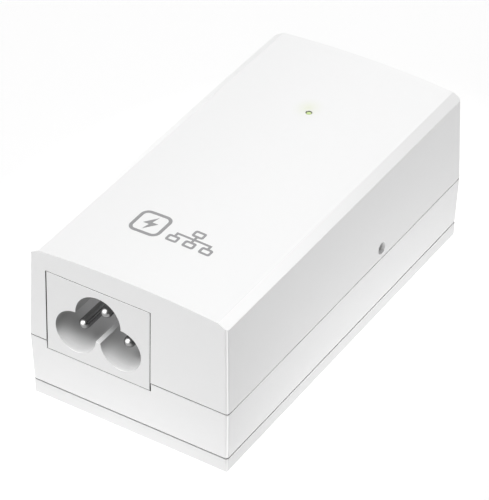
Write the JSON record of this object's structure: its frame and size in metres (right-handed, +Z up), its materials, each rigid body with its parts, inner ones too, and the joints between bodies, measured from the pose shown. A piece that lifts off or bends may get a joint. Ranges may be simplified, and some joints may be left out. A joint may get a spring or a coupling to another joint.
{
  "type": "poe injector",
  "caption": "Slim box power supply that feeds power into a network cable: mains inlet at one end, network jacks at the other, on a slide-off wall bracket.",
  "frame": {"origin": "centre of the footprint on the underside of the wall bracket", "axes": "+Y towards the network jacks, -Y towards the mains inlet, +X towards the side with the reset hole, +Z up"},
  "size_m": [0.0442, 0.0872, 0.0356],
  "materials": {
    "case_plastic": "satin moulded",
    "inlet_plastic": "satin moulded",
    "pin_nickel": "nickel plated",
    "button_plastic": "satin",
    "black_plastic": "moulded",
    "shield_steel": "tin plated",
    "contact_gold": "gold flashed",
    "clear_acrylic": "clear, tinted by the lamp",
    "led_body": "moulded",
    "board_laminate": "solder mask",
    "screw_steel": "zinc plated",
    "fibre_sheet": "smooth sheet",
    "fuse_brown": "moulded",
    "varistor_blue": "dipped epoxy",
    "thermistor_grey": "dipped epoxy",
    "film_yellow": "moulded box",
    "ferrite": "sintered",
    "copper_wire": "enamelled",
    "capacitor_sleeve": "shrunk sleeve",
    "sink_aluminium": "extruded",
    "component_black": "moulded epoxy",
    "winding_tape": "polyester tape",
    "disc_blue": "dipped epoxy",
    "opto_white": "moulded epoxy"
  },
  "bodies": {
    "case": {"top_shell": "case_plastic", "bottom_shell": "case_plastic", "inlet_housing": "inlet_plastic", "line_pin": "pin_nickel", "neutral_pin": "pin_nickel", "earth_pin": "pin_nickel", "reset_switch": "black_plastic", "switch_frame": "shield_steel", "light_pipe": "clear_acrylic", "status_led": "led_body", "main_board": "board_laminate", "board_screws": "screw_steel", "insulation_sheet": "fibre_sheet", "poe_jack_housing": "black_plastic", "poe_jack_contacts": "contact_gold", "poe_jack_shield": "shield_steel", "lan_jack_housing": "black_plastic", "lan_jack_contacts": "contact_gold", "lan_jack_shield": "shield_steel", "mains_fuse": "fuse_brown", "surge_varistor": "varistor_blue", "inrush_thermistor": "thermistor_grey", "x_capacitor": "film_yellow", "choke_core": "ferrite", "choke_windings": "copper_wire", "bridge_rectifier": "component_black", "bulk_capacitor": "capacitor_sleeve", "heat_sink": "sink_aluminium", "switching_transistor": "component_black", "heat_sink_screw": "screw_steel", "switching_controller": "component_black", "transformer_bobbin": "black_plastic", "transformer_pins": "shield_steel", "transformer_core": "ferrite", "transformer_winding": "winding_tape", "y_capacitor": "disc_blue", "optocoupler": "opto_white", "output_diode": "component_black", "output_capacitors": "capacitor_sleeve", "output_choke": "ferrite", "data_transformer": "component_black"},
    "bracket": {"wall_bracket": "case_plastic"},
    "button": {"reset_button": "button_plastic"}
  },
  "joints": [
    {"name": "bracket_slide", "type": "slide", "parent": "case", "child": "bracket", "axis": [0, -1, 0], "range_m": [0, 0.005]},
    {"name": "reset_press", "type": "slide", "parent": "case", "child": "button", "axis": [-1, 0, 0], "range_m": [0, 0.0003], "stiffness_N_per_m": 2000}
  ]
}
